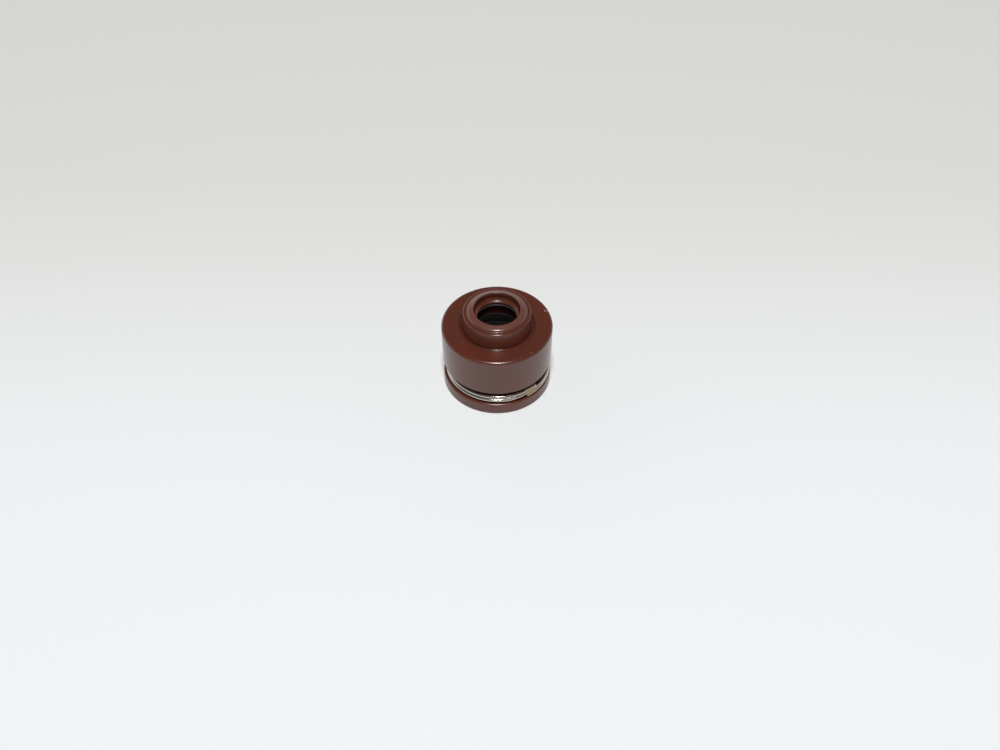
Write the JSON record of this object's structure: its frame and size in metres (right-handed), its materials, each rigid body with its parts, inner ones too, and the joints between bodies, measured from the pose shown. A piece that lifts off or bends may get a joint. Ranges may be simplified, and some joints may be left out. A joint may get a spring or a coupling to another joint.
{
  "type": "valve stem seal",
  "caption": "Valve stem seal: brown rubber body with a flat top disc, a short neck with sealing lips, a socket for the valve guide and a wire clip in its groove.",
  "frame": {"origin": "centre of the base, on the seal's axis", "axes": "+Z along the axis, from the guide socket's mouth towards the neck; the clip's overlapping ends lie between -Y and +X"},
  "size_m": [0.013, 0.013, 0.0109],
  "materials": {
    "body_rubber": "smooth brown fluorocarbon rubber with a dull gloss",
    "clip_wire": "bright drawn spring wire"
  },
  "bodies": {
    "root": {"seal_body": "body_rubber", "clamp_spring": "clip_wire"}
  },
  "joints": []
}
